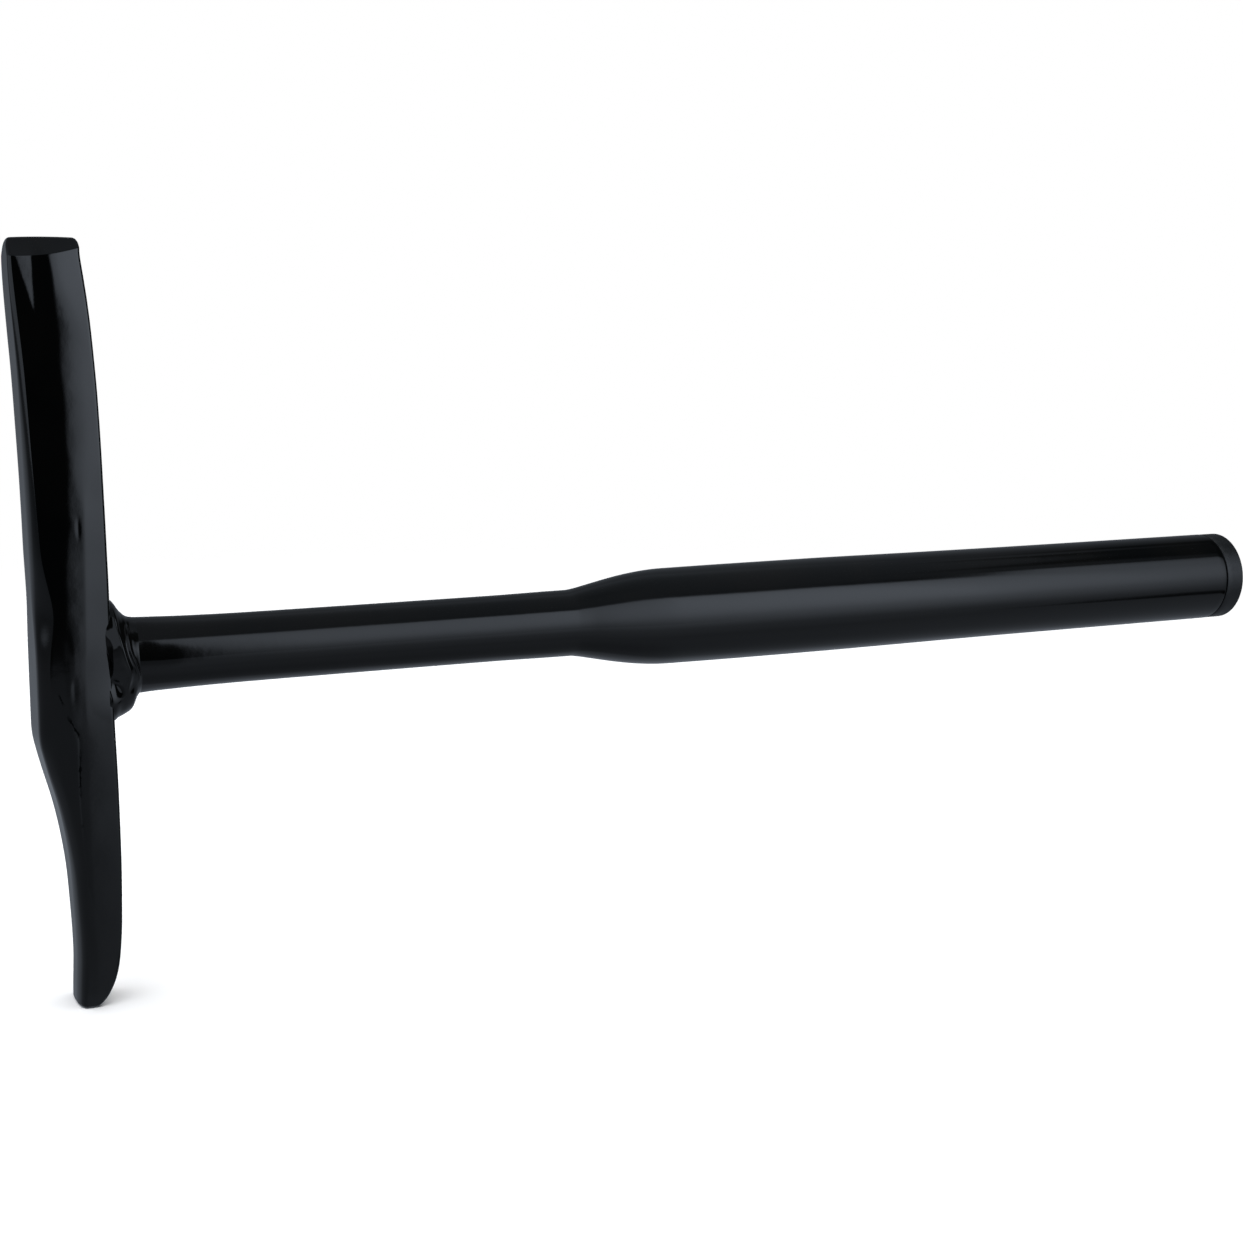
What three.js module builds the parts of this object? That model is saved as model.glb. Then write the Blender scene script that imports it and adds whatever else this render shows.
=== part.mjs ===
// Welder's chipping hammer: a forged double-ended head, a swaged steel tube handle welded to
// its front face in two fillet runs, and a moulded plug in the open end of the tube.
// Millimetres. X runs along the handle from the head to the plug, and Z along the head. The
// pieces are drawn about the point where the handle's axis crosses the middle of the head.
import * as THREE from 'three';
import { mergeVertices } from 'three/addons/utils/BufferGeometryUtils.js';

// Clearance that keeps neighbouring solids apart where the real ones are fused or pressed in.
const FIT_GAP = 0.3;

// Head: a bar forged down to a straight edge at the top and to a cross edge at the bottom.
const HEAD_TOP = 98.2;
const HEAD_BOTTOM = -83.6;
const EYE_TOP = 20;
const EYE_BOTTOM = -14;
const HEAD_BACK = -8.75;
const HEAD_FRONT = 8.5;
const HEAD_HALF_THICKNESS = 9;
const TOP_BEVEL_START = 94.2;
const TOP_BEVEL_HALF_THICKNESS = 5.25;
const TOP_EDGE_HALF_THICKNESS = 0.9;
const BACK_CORNER_RADIUS = 2.4;
const FRONT_CORNER_RADIUS = 1.1;
const LEAST_CORNER_RADIUS = 0.4;
const CORNER_SEGMENTS = 6;
const TIP_CURVE_START = -78;
const TIP_RINGS = 8;
const LOWER_ARM_RINGS = 26;
const UPPER_ARM_RINGS = 22;
const BEVEL_RINGS = 5;

// Handle tube, swaged from the grip's diameter down to the neck's.
const NECK_RADIUS = 8.43;
const NECK_SHOULDER = 0.2;
const NECK_SHOULDER_START = 103;
const GRIP_RADIUS = 12.5;
const GRIP_SWELL = 0.34;
const GRIP_SWELL_PLACE = 191;
const GRIP_SWELL_SPREAD = 48;
const NECK_WALL = 2.4;
const GRIP_WALL = 2;
const WELD_FLARE = 1.1;
const WELD_FLARE_LENGTH = 60;
const SWAGE_START = 127.3;
const SWAGE_LENGTH = 28;
const SWAGE_LEAN = 0.7;
const TUBE_END = 332.9;
const TUBE_EDGE_RADIUS = 0.5;
const FLARE_RINGS = 9;
const SHOULDER_RINGS = 4;
const SWAGE_RINGS = 16;
const GRIP_RINGS = 8;
const RIM_SEGMENTS = 4;
const ROUND_SEGMENTS = 64;

// Fillet runs between the head's front face and the neck.
const WELD_LEG_SIDE = 1.6;
const WELD_LEG_START = 6.2;
const WELD_LEG_STOP = 7.2;
const WELD_LENGTH_SIDE = 7.2;
const WELD_LENGTH_START = 7.2;
const WELD_LENGTH_STOP = 7.3;
const WELD_CROWN_START = 1;
const WELD_CROWN_STOP = -0.9;
const WELD_STEPS = 40;
const WELD_FACE_POINTS = 8;

// Plug: a flat-ended cap with a finned shank that grips the bore.
const PLUG_RADIUS = 12.45;
const PLUG_THICKNESS = 5.7;
const PLUG_EDGE_RADIUS = 0.5;
const PLUG_CORE_RADIUS = 8.2;
const PLUG_SHANK_LENGTH = 18;
const PLUG_FIN_COUNT = 4;
const PLUG_FIN_THICKNESS = 1.2;
const PLUG_WALL = 1.8;

function paintedSteel(hex, roughness) {
  return new THREE.MeshStandardMaterial({ color: hex, roughness, metalness: 0.1 });
}

// A smooth line through [height, value] pairs given from the bottom up.
function lineThrough(pairs) {
  const heights = pairs.map((pair) => pair[0]);
  const values = pairs.map((pair) => pair[1]);
  const line = new THREE.CubicInterpolant(heights, values, 1, [0]);
  return (height) => line.evaluate(height)[0];
}

// Evenly spaced values, without the last one.
function spread(from, to, count) {
  return Array.from({ length: count }, (_, index) => from + ((to - from) * index) / count);
}

const backLineBelow = lineThrough([
  [HEAD_BOTTOM, -2.3],
  [-80, -2.15],
  [-72, -1.75],
  [-60, -2.0],
  [-48, -2.7],
  [-36, -4.5],
  [-24, -7.45],
  [-18, -8.65],
  [EYE_BOTTOM, HEAD_BACK],
]);
const backLineAbove = lineThrough([
  [EYE_TOP, HEAD_BACK],
  [46, -9.15],
  [68, -9.7],
  [90, -10.65],
  [TOP_BEVEL_START, -10.65],
  [97.2, -10.3],
  [HEAD_TOP, -9.7],
]);
const frontLineBelow = lineThrough([
  [HEAD_BOTTOM, 2.4],
  [-82.6, 3.7],
  [-80, 5.5],
  [-76, 7.05],
  [-68, 8.2],
  [-58, 8.7],
  [-36, 8.9],
  [EYE_BOTTOM, HEAD_FRONT],
]);
const frontLineAbove = lineThrough([
  [EYE_TOP, HEAD_FRONT],
  [42, 8.25],
  [66, 7.75],
  [84, 6.7],
  [TOP_BEVEL_START, 5.75],
  [97.4, 5.5],
  [HEAD_TOP, 4.9],
]);
const sideLineBelow = lineThrough([
  [HEAD_BOTTOM, 6.6],
  [-80, 6.9],
  [-50, 8],
  [EYE_BOTTOM, HEAD_HALF_THICKNESS],
]);
const sideLineAbove = lineThrough([
  [EYE_TOP, HEAD_HALF_THICKNESS],
  [50, 7.9],
  [TOP_BEVEL_START, TOP_BEVEL_HALF_THICKNESS],
]);

// Both sides of the top are ground to the edge by flat bevels.
function headHalfThickness(height) {
  if (height > TOP_BEVEL_START) {
    const share = (height - TOP_BEVEL_START) / (HEAD_TOP - TOP_BEVEL_START);
    return THREE.MathUtils.lerp(TOP_BEVEL_HALF_THICKNESS, TOP_EDGE_HALF_THICKNESS, share);
  }
  return height > 0 ? sideLineAbove(height) : sideLineBelow(height);
}

// A round-cornered bar section, two units either way with unit corners, to be resized later.
function cornerTemplate() {
  const shape = new THREE.Shape();
  const quarter = Math.PI / 2;
  [[1, 1], [-1, 1], [-1, -1], [1, -1]].forEach(([x, y], index) => {
    shape.absarc(x, y, 1, index * quarter, (index + 1) * quarter, false);
  });
  return shape;
}

function hammerHead() {
  const heights = [
    ...spread(HEAD_BOTTOM, TIP_CURVE_START, TIP_RINGS),
    ...spread(TIP_CURVE_START, EYE_BOTTOM, LOWER_ARM_RINGS),
    EYE_BOTTOM,
    ...spread(EYE_TOP, TOP_BEVEL_START, UPPER_ARM_RINGS),
    ...spread(TOP_BEVEL_START, HEAD_TOP, BEVEL_RINGS),
    HEAD_TOP,
  ];
  const bar = new THREE.ExtrudeGeometry(cornerTemplate(), {
    depth: heights.length - 1,
    steps: heights.length - 1,
    curveSegments: CORNER_SEGMENTS,
    bevelEnabled: false,
  });
  const position = bar.attributes.position;
  for (let index = 0; index < position.count; index += 1) {
    const height = heights[Math.round(position.getZ(index))];
    const back = height > 0 ? backLineAbove(height) : backLineBelow(height);
    const front = height > 0 ? frontLineAbove(height) : frontLineBelow(height);
    const halfWidth = (front - back) / 2;
    const halfThickness = headHalfThickness(height);
    const x = position.getX(index);
    const y = position.getY(index);
    const wanted = x < 0 ? BACK_CORNER_RADIUS : FRONT_CORNER_RADIUS;
    const room = Math.min(halfWidth, halfThickness) - LEAST_CORNER_RADIUS;
    const radius = Math.max(LEAST_CORNER_RADIUS, Math.min(wanted, room));
    const cornerX = Math.sign(x);
    const cornerY = Math.sign(y);
    position.setXYZ(
      index,
      (front + back) / 2 + cornerX * (halfWidth - radius) + (x - cornerX) * radius,
      cornerY * (halfThickness - radius) + (y - cornerY) * radius,
      height,
    );
  }
  return bar;
}

// The swage's S-curve, from 0 at its narrow end to 1 at its wide end, with the steep part
// nearer the neck.
function swageShare(along) {
  const share = THREE.MathUtils.clamp((along - SWAGE_START) / SWAGE_LENGTH, 0, 1);
  return THREE.MathUtils.smoothstep(Math.pow(share, SWAGE_LEAN), 0, 1);
}

// The neck flares out to the weld and thickens a little before the swage. The grip swells just
// past the swage and settles to its own radius towards the end.
function tubeRadius(along) {
  const fromHead = (along - HEAD_FRONT) / WELD_FLARE_LENGTH;
  const flare = WELD_FLARE * Math.pow(Math.max(0, 1 - fromHead), 4);
  const shoulder = NECK_SHOULDER * THREE.MathUtils.smoothstep(along, NECK_SHOULDER_START, SWAGE_START);
  const fromSwell = (along - GRIP_SWELL_PLACE) / GRIP_SWELL_SPREAD;
  const swell = GRIP_SWELL * Math.exp(-fromSwell * fromSwell);
  const neck = NECK_RADIUS + flare + shoulder;
  return THREE.MathUtils.lerp(neck, GRIP_RADIUS + swell, swageShare(along));
}

function tubeWall(along) {
  return THREE.MathUtils.lerp(NECK_WALL, GRIP_WALL, swageShare(along));
}

// A lathed solid whose axis is the handle's: profile points are (radius, place along X).
function turned(profile) {
  const solid = new THREE.LatheGeometry(profile, ROUND_SEGMENTS);
  solid.rotateZ(-Math.PI / 2);
  return solid;
}

function handleTube() {
  const start = HEAD_FRONT + FIT_GAP;
  const swageEnd = SWAGE_START + SWAGE_LENGTH;
  const places = [
    ...spread(start, start + WELD_FLARE_LENGTH, FLARE_RINGS),
    ...spread(start + WELD_FLARE_LENGTH, NECK_SHOULDER_START, 1),
    ...spread(NECK_SHOULDER_START, SWAGE_START, SHOULDER_RINGS),
    ...spread(SWAGE_START, swageEnd, SWAGE_RINGS),
    ...spread(swageEnd, TUBE_END - 2 * TUBE_EDGE_RADIUS, GRIP_RINGS),
  ];
  const outside = places.map((along) => new THREE.Vector2(tubeRadius(along), along));
  const inside = places.map((along) => (
    new THREE.Vector2(tubeRadius(along) - tubeWall(along), along)
  ));
  const rim = new THREE.Path();
  const rimRadius = GRIP_RADIUS - TUBE_EDGE_RADIUS;
  rim.absarc(rimRadius, TUBE_END - TUBE_EDGE_RADIUS, TUBE_EDGE_RADIUS, 0, Math.PI / 2);
  const bore = new THREE.Vector2(GRIP_RADIUS - GRIP_WALL, TUBE_END);
  const profile = [...outside, ...rim.getPoints(RIM_SEGMENTS), bore, ...inside.reverse()];
  profile.push(profile[0].clone());
  return turned(profile);
}

// One fillet run, laid from under the neck round one side (-1 near, 1 far) to the top. Its
// section is a triangle with one leg up the head and one along the tube, and its face goes from
// crowned where the run starts to hollow where it stops.
function weldRun(side) {
  const section = new THREE.Shape();
  section.moveTo(0, 0);
  for (let point = 0; point <= WELD_FACE_POINTS; point += 1) {
    const share = point / WELD_FACE_POINTS;
    section.lineTo(1 - share, share);
  }
  const run = new THREE.ExtrudeGeometry(section, {
    depth: 1,
    steps: WELD_STEPS,
    bevelEnabled: false,
  });
  const halfGap = FIT_GAP / 2 / (tubeRadius(HEAD_FRONT) + FIT_GAP);
  const position = run.attributes.position;
  for (let index = 0; index < position.count; index += 1) {
    const up = position.getX(index);
    const out = position.getY(index);
    const share = side < 0 ? position.getZ(index) : 1 - position.getZ(index);
    const angle = THREE.MathUtils.lerp(Math.PI - halfGap, halfGap, share);
    const towardEnd = Math.pow(Math.cos(angle), 2);
    const endLeg = share < 0.5 ? WELD_LEG_START : WELD_LEG_STOP;
    const endLength = share < 0.5 ? WELD_LENGTH_START : WELD_LENGTH_STOP;
    const leg = THREE.MathUtils.lerp(WELD_LEG_SIDE, endLeg, towardEnd);
    const length = THREE.MathUtils.lerp(WELD_LENGTH_SIDE, endLength, towardEnd);
    const crown = THREE.MathUtils.lerp(WELD_CROWN_START, WELD_CROWN_STOP, share) * 4 * up * out;
    const along = HEAD_FRONT + FIT_GAP + out * length + crown;
    const radius = tubeRadius(along) + FIT_GAP + up * leg + crown;
    position.setXYZ(
      index,
      along,
      side * radius * Math.sin(angle),
      radius * Math.cos(angle),
    );
  }
  return run;
}

function endPlug() {
  const boreRadius = GRIP_RADIUS - GRIP_WALL - FIT_GAP;
  const seat = TUBE_END + FIT_GAP;
  const face = seat + PLUG_THICKNESS;
  const tip = seat - PLUG_SHANK_LENGTH;
  const rim = new THREE.Path();
  const rimRadius = PLUG_RADIUS - PLUG_EDGE_RADIUS;
  rim.absarc(rimRadius, face - PLUG_EDGE_RADIUS, PLUG_EDGE_RADIUS, 0, Math.PI / 2);
  const finPitch = PLUG_SHANK_LENGTH / (PLUG_FIN_COUNT + 0.5);
  const profile = [
    new THREE.Vector2(0, seat),
    new THREE.Vector2(PLUG_CORE_RADIUS - PLUG_WALL, seat),
    new THREE.Vector2(PLUG_CORE_RADIUS - PLUG_WALL, tip),
    new THREE.Vector2(PLUG_CORE_RADIUS, tip),
  ];
  for (let fin = 0; fin < PLUG_FIN_COUNT; fin += 1) {
    const place = tip + (fin + 0.5) * finPitch;
    profile.push(
      new THREE.Vector2(PLUG_CORE_RADIUS, place),
      new THREE.Vector2(boreRadius, place + PLUG_FIN_THICKNESS / 2),
      new THREE.Vector2(boreRadius, place + PLUG_FIN_THICKNESS),
      new THREE.Vector2(PLUG_CORE_RADIUS, place + PLUG_FIN_THICKNESS),
    );
  }
  profile.push(
    new THREE.Vector2(PLUG_CORE_RADIUS, seat),
    new THREE.Vector2(PLUG_RADIUS, seat),
    ...rim.getPoints(RIM_SEGMENTS),
    new THREE.Vector2(0, face),
  );
  return turned(profile);
}

function addPiece(group, name, geometry, material) {
  geometry.deleteAttribute('normal');
  geometry.deleteAttribute('uv');
  const welded = mergeVertices(geometry, 1e-4);
  welded.computeVertexNormals();
  const mesh = new THREE.Mesh(welded, material);
  mesh.name = name;
  group.add(mesh);
}

const hammer = new THREE.Group();
addPiece(hammer, 'hammer_head', hammerHead(), paintedSteel(0x0b0d10, 0.18));
addPiece(hammer, 'handle_tube', handleTube(), paintedSteel(0x0b0d10, 0.16));
addPiece(hammer, 'weld_run_near', weldRun(-1), paintedSteel(0x0d0f12, 0.22));
addPiece(hammer, 'weld_run_far', weldRun(1), paintedSteel(0x0d0f12, 0.22));
const plugPlastic = new THREE.MeshStandardMaterial({ color: 0x14171a, roughness: 0.42, metalness: 0 });
addPiece(hammer, 'end_plug', endPlug(), plugPlastic);

// The finished hammer's own origin is on the head's back face, in line with the handle.
hammer.position.x = -HEAD_BACK;

export default hammer;
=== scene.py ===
"""Looks for an all-steel welder's chipping hammer: a forged head, a swaged tube handle, the two
weld runs between them and a plastic plug, all in or under gloss black paint.

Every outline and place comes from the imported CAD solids. X runs along the handle from the head,
Z along the head, and Y across it, with the near side at -Y. Lengths are metres.
"""

import math

import bmesh
import bpy
import numpy as np
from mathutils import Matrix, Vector, noise


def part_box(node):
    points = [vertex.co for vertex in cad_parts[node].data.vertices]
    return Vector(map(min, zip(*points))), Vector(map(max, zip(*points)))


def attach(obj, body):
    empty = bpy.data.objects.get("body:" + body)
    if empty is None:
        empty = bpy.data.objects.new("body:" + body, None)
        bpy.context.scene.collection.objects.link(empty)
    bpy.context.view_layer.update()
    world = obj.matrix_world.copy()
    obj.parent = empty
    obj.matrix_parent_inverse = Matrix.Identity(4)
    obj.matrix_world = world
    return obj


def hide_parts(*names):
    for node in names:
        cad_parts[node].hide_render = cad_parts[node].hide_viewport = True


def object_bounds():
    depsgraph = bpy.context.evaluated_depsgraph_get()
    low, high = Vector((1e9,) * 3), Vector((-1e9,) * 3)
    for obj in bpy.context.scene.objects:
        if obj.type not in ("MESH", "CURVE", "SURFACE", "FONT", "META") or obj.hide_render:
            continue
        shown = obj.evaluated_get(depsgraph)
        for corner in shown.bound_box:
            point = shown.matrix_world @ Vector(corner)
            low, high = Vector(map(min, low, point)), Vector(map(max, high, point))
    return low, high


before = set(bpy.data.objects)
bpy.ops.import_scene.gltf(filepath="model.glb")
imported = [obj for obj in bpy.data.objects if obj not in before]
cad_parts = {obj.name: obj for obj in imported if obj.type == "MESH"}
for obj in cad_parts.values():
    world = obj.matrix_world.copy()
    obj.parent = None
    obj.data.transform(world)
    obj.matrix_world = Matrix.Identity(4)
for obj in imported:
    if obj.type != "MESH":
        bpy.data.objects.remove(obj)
CAD_LOW, CAD_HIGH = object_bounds()

MM = 0.001
BODY = "root"

HEAD_LOW, HEAD_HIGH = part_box("hammer_head")
TUBE_LOW, TUBE_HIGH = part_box("handle_tube")
PLUG_LOW, PLUG_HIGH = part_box("end_plug")
WELD_LOW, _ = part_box("weld_run_near")

# --- Outlines read from the CAD solids ---------------------------------------------------------


SAME_PLACE = 2e-6


def cad_points(node):
    return np.array([vertex.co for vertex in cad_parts[node].data.vertices])


def smooth_line(places, values):
    """A natural cubic spline through the given points, as a function of place."""
    places = np.asarray(places, float)
    values = np.asarray(values, float)
    steps = np.diff(places)
    slopes = np.diff(values) / steps
    count = len(places)
    matrix = np.eye(count)
    right_side = np.zeros(count)
    for index in range(1, count - 1):
        before, after = steps[index - 1], steps[index]
        matrix[index, index - 1:index + 2] = before, 2 * (before + after), after
        right_side[index] = 6 * (slopes[index] - slopes[index - 1])
    bend = np.linalg.solve(matrix, right_side)

    def line(place):
        place = np.clip(place, places[0], places[-1])
        low = np.clip(np.searchsorted(places, place) - 1, 0, count - 2)
        step = steps[low]
        done = place - places[low]
        left = places[low + 1] - place
        curved = (bend[low] * left ** 3 + bend[low + 1] * done ** 3) / (6 * step)
        from_low = (values[low] / step - bend[low] * step / 6) * left
        from_high = (values[low + 1] / step - bend[low + 1] * step / 6) * done
        return curved + from_low + from_high

    return line


def steady_line(places, values):
    """A smooth curve through the given points that never overshoots them."""
    places = np.asarray(places, float)
    values = np.asarray(values, float)
    steps = np.diff(places)
    slopes = np.diff(values) / steps
    bends = np.zeros(len(places))
    rising = slopes[1:] * slopes[:-1] > 0
    mean = 2 * slopes[1:] * slopes[:-1] / np.where(rising, slopes[1:] + slopes[:-1], 1)
    bends[1:-1] = np.where(rising, mean, 0)

    def line(place):
        place = np.clip(place, places[0], places[-1])
        low = np.clip(np.searchsorted(places, place) - 1, 0, len(steps) - 1)
        step = steps[low]
        share = (place - places[low]) / step
        from_low = (1 + 2 * share) * (1 - share) ** 2 * values[low]
        from_high = share * share * (3 - 2 * share) * values[low + 1]
        turn_low = share * (1 - share) ** 2 * step * bends[low]
        turn_high = share * share * (share - 1) * step * bends[low + 1]
        return from_low + from_high + turn_low + turn_high

    return line


def cad_rings(points, along, measure):
    """Places of the CAD solid's rings along one axis, and one measure of each ring."""
    places = np.unique(np.round(points[:, along], 6))
    rings = [points[np.abs(points[:, along] - place) < SAME_PLACE] for place in places]
    return places, np.array([measure(ring) for ring in rings])


TOP_BEVEL_HEIGHT = 4.2 * MM
NEAR_BEVEL_FOOT = 0.3 * MM
TAPER_RUN = 10 * MM

head_points = cad_points("hammer_head")
ring_heights, ring_backs = cad_rings(head_points, 2, lambda ring: ring[:, 0].min())
_, ring_fronts = cad_rings(head_points, 2, lambda ring: ring[:, 0].max())
_, ring_sides = cad_rings(head_points, 2, lambda ring: ring[:, 1].max())
unbevelled = ring_heights < HEAD_HIGH.z - TOP_BEVEL_HEIGHT + NEAR_BEVEL_FOOT

back_line = smooth_line(ring_heights, ring_backs)
front_line = smooth_line(ring_heights, ring_fronts)
taper_line = smooth_line(ring_heights[unbevelled], ring_sides[unbevelled])
TAPER_END = ring_heights[unbevelled][-1]
TAPER_SLOPE = (taper_line(TAPER_END) - taper_line(TAPER_END - TAPER_RUN)) / TAPER_RUN


def side_line(height):
    """The head's half thickness, with the taper carried on past the foot of the top bevels."""
    return taper_line(height) + TAPER_SLOPE * np.maximum(0, height - TAPER_END)


def from_axis(points):
    return np.hypot(points[:, 1], points[:, 2])


tube_points = cad_points("handle_tube")
tube_places, tube_outer = cad_rings(tube_points, 0, lambda ring: from_axis(ring).max())
_, tube_inner = cad_rings(tube_points, 0, lambda ring: from_axis(ring).min())
TUBE_EDGE = 0.5 * MM
before_rim = tube_places < TUBE_HIGH.x - 1.5 * TUBE_EDGE
TUBE_RADIUS = tube_outer[before_rim][-1]
tube_line = steady_line(
    np.append(tube_places[before_rim], TUBE_HIGH.x), np.append(tube_outer[before_rim], TUBE_RADIUS)
)
bore_line = steady_line(
    np.append(tube_places[before_rim], TUBE_HIGH.x), np.append(tube_inner[before_rim], tube_inner[-1])
)

EYE_BACK = float(back_line(0.0))
EYE_FRONT = float(front_line(0.0))
EYE_MIDDLE = (EYE_BACK + EYE_FRONT) / 2

# --- Mesh helpers ------------------------------------------------------------------------------


def ease(value):
    value = np.clip(value, 0, 1)
    return value * value * (3 - 2 * value)


def present(value, spots):
    """0 up to the first of four spots, 1 from the second to the third, and 0 past the fourth."""
    start, full, fading, end = spots
    return ease((value - start) / (full - start)) * ease((end - value) / (end - fading))


def soft_least(one, other, blend):
    """The lesser of two values, with the change from one to the other rounded over blend."""
    share = np.clip(0.5 + 0.5 * (other - one) / blend, 0, 1)
    return other * (1 - share) + one * share - blend * share * (1 - share)


def soft_ramp(value, width):
    """Zero below 0 and the value itself above, with a rounded corner of the given width."""
    return width * np.logaddexp(0, value / width)


def bump(value, centre, width):
    return np.exp(-((value - centre) / width) ** 2)


def rough(points, size, seed):
    """Smooth noise from -1 to 1 with features of the given size, at each point of an array."""
    shift = Vector((seed * 17.3, seed * 5.1, seed * 9.7))
    flat = points.reshape(-1, 3)
    values = [noise.noise(Vector(point) / size + shift) for point in flat]
    return np.array(values).reshape(points.shape[:-1])


def surface_normals(grid):
    """Normals of a grid of points whose columns close on themselves."""
    around = np.roll(grid, -1, axis=1) - np.roll(grid, 1, axis=1)
    along = np.gradient(grid, axis=0)
    normals = np.cross(around, along)
    length = np.linalg.norm(normals, axis=2, keepdims=True)
    return normals / np.maximum(length, 1e-12)


def closed_grid(name, grid, cap_start=True, cap_end=True, ring=False):
    """A piece from rows of points whose columns close on themselves. Its first and last rows are
    capped, or joined to each other if the rows form a ring."""
    rows, columns = grid.shape[:2]
    mesh = bmesh.new()
    points = [[mesh.verts.new(point) for point in row] for row in grid]
    row_pairs = range(rows) if ring else range(rows - 1)
    for row in row_pairs:
        upper = (row + 1) % rows
        for column in range(columns):
            after = (column + 1) % columns
            mesh.faces.new((
                points[row][column],
                points[row][after],
                points[upper][after],
                points[upper][column],
            ))
    if cap_start and not ring:
        mesh.faces.new(points[0])
    if cap_end and not ring:
        mesh.faces.new(points[-1])
    bmesh.ops.remove_doubles(mesh, verts=mesh.verts, dist=1e-7)
    bmesh.ops.recalc_face_normals(mesh, faces=mesh.faces)
    data = bpy.data.meshes.new(name)
    mesh.to_mesh(data)
    mesh.free()
    data.shade_smooth()
    piece = bpy.data.objects.new(name, data)
    bpy.context.scene.collection.objects.link(piece)
    return piece


def finish_piece(piece, node, material):
    piece.data.materials.append(material)
    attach(piece, BODY)
    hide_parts(node)


def spaced(stretches):
    """Places along a line from (start, end, step) stretches that follow on from each other."""
    places = []
    for start, end, step in stretches:
        count = max(1, round((end - start) / step))
        places.extend(start + (end - start) * index / count for index in range(count))
    places.append(stretches[-1][1])
    return np.array(places)


# --- Forged head -------------------------------------------------------------------------------

SIDE_POINTS = 46
FACE_POINTS = 14
ARC_POINTS = 8
HEAD_END_ROUNDING = 0.45 * MM
HEAD_END_ROWS = 5
FRONT_CORNER = 0.8 * MM
TOP_EDGE_HALF = 0.85 * MM
TOP_CROWN = 0.16 * MM
TOP_CROWN_REACH = 6 * MM
BEVEL_RIDGE_ROUNDING = 0.12 * MM
LEAST_CORNER = 0.2 * MM
LEAST_FLAT = 0.3 * MM
LEAST_HALF = 0.25 * MM

# The back corners are hammered rounder by the handle than at the ends.
back_corner = smooth_line(
    np.array([-84, -60, -46, -36, -24, -14, -4, 4, 12, 18, 24, 32, 50, 76, 99]) * MM,
    np.array([1.8, 2.2, 2.3, 2.4, 2.8, 3.2, 3.0, 3.5, 4.6, 3.5, 2.3, 1.8, 1.4, 1.4, 0.8]) * MM,
)

# How much further the same corners run across the back than along the sides.
back_spread = smooth_line(
    np.array([-84, -60, -46, -34, -20, 0, 12, 24, 32, 45, 70, 99]) * MM,
    [3.0, 2.6, 2.0, 1.4, 1.05, 1.15, 1.15, 2.2, 2.9, 3.4, 1.4, 1.0],
)

# Each broad side leans a little either side of a low ridge, and more beyond a second crease that
# is crisp by the eye and soft in the upper arm. Both are places across the head, by height.
ridge_place = smooth_line(
    np.array([-84, -57, -42, -32, -22, -13, 0, 8, 14, 20, 30, 39, 54, 63, 74, 82, 93, 99]) * MM,
    np.array([
        0.8, 0.2, -0.7, -1.3, -2.0, -2.2, -2.3, -2.5, -2.3,
        -1.9, -1.3, -0.8, -0.5, -0.7, -1.0, -1.2, -2.0, -2.7,
    ]) * MM,
)
crease_place = smooth_line(
    np.array([-84, -8, 6, 15, 27, 38, 50, 61, 70, 80, 88, 99]) * MM,
    np.array([2.4, 2.3, 2.8, 3.1, 3.5, 3.9, 5.0, 5.2, 4.6, 4.4, 2.3, 1.8]) * MM,
)

# Each side rises at this slope to the ridge, from this far behind the middle of the bar.
SIDE_RISE = math.tan(math.radians(2.4))
RELIEF_START = 9 * MM

# It falls at these angles, in degrees by height, from the ridge to the crease and past the
# crease. The first stretch past the ridge is slightly round.
middle_fall = smooth_line(
    np.array([-30, -20, -8, 25, 45, 99]) * MM,
    [4.1, 4.6, 5.0, 5.0, 4.9, 4.9],
)
MIDDLE_ROUNDING = 0.0006 / MM
MIDDLE_ROUNDING_REACH = 5 * MM
front_fall = smooth_line(
    np.array([-20, -12, -4, 20, 38, 50, 70, 80, 88, 99]) * MM,
    [4.6, 6.2, 12.5, 14.0, 12.5, 9.5, 7.4, 8.0, 12.0, 13.0],
)
RIDGE_ROUNDING = 0.28 * MM
CREASE_CRISP = 0.12 * MM
CREASE_SOFT = 1.1 * MM
CREASE_SOFTENS = 34 * MM
CREASE_SOFTENS_OVER = 14 * MM

# The ridge wanders a little. The longer of its two waves fades out up the upper arm.
WANDER = 0.3 * MM
WANDER_LENGTH = 4.3 * MM
WANDER_END = 44 * MM
WANDER_FADE = 26 * MM
FINE_WANDER = 0.12 * MM
FINE_WANDER_LENGTH = 2.3 * MM

# A shallow triangular flat beaten into the near side, under the top bevel and by the back.
WEDGE_TOP = 94.0 * MM
WEDGE_FOOT = 78.0 * MM
WEDGE_BACK = -9.3 * MM
WEDGE_RIGHT = -4.9 * MM
WEDGE_SLOPE = math.tan(math.radians(8.7))
WEDGE_ROUNDING = 0.12 * MM


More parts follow.
